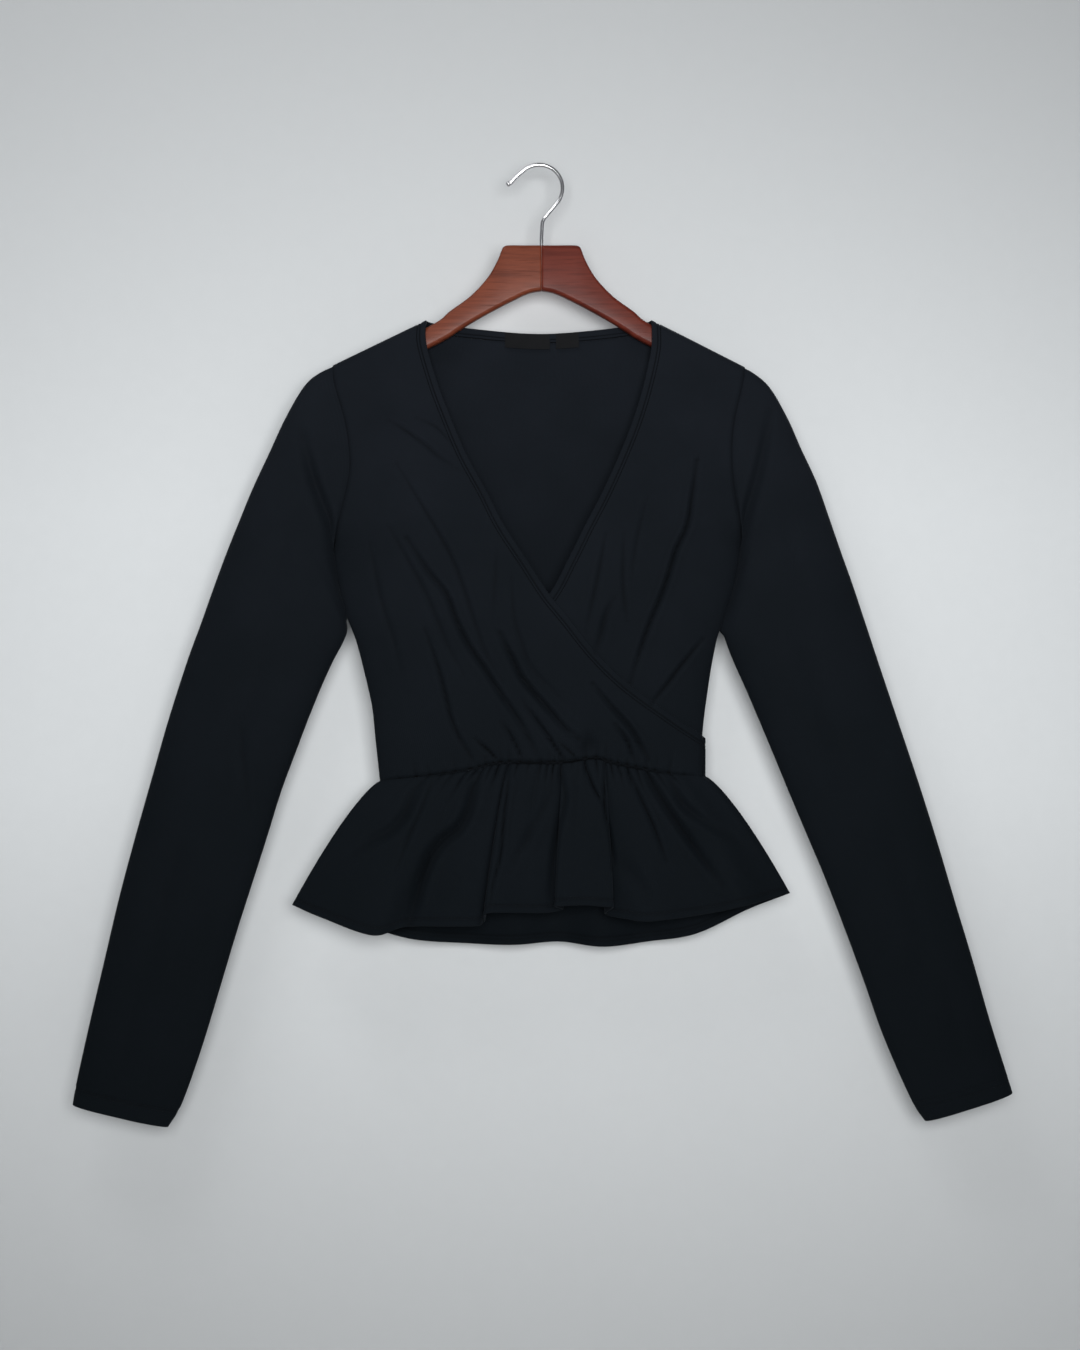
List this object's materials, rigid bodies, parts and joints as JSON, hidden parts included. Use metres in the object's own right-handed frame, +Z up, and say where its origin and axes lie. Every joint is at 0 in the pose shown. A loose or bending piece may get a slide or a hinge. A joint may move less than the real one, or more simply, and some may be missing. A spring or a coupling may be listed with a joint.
{
  "type": "crop top on a hanger",
  "caption": "Black long-sleeved wrap crop top with a V neck and a gathered peplum, hung on a wooden hanger with a wire hook.",
  "frame": {"origin": "underside of the hook's top, where a rod or a peg carries the hanger", "axes": "+Z up out of the hook, -Y out of the front of the garment, +X to the right of someone who faces the front"},
  "size_m": [0.8185, 0.0559, 0.8391],
  "materials": {
    "cloth": "fine matt black crepe jersey with a soft cool sheen",
    "label": "black satin, left bare",
    "wood": "mahogany stain under satin lacquer",
    "chrome": "bright chrome plated wire"
  },
  "bodies": {
    "root": {"front_over": "cloth", "front_under": "cloth", "back": "cloth", "band_over": "cloth", "band_under": "cloth", "band_back": "cloth", "label_main": "label", "label_size": "label", "sleeve_left_front": "cloth", "sleeve_left_back": "cloth", "sleeve_right_front": "cloth", "sleeve_right_back": "cloth", "peplum_front": "cloth", "peplum_back": "cloth", "hanger_left": "wood", "hanger_right": "wood", "hanger_hook": "chrome"}
  },
  "joints": []
}
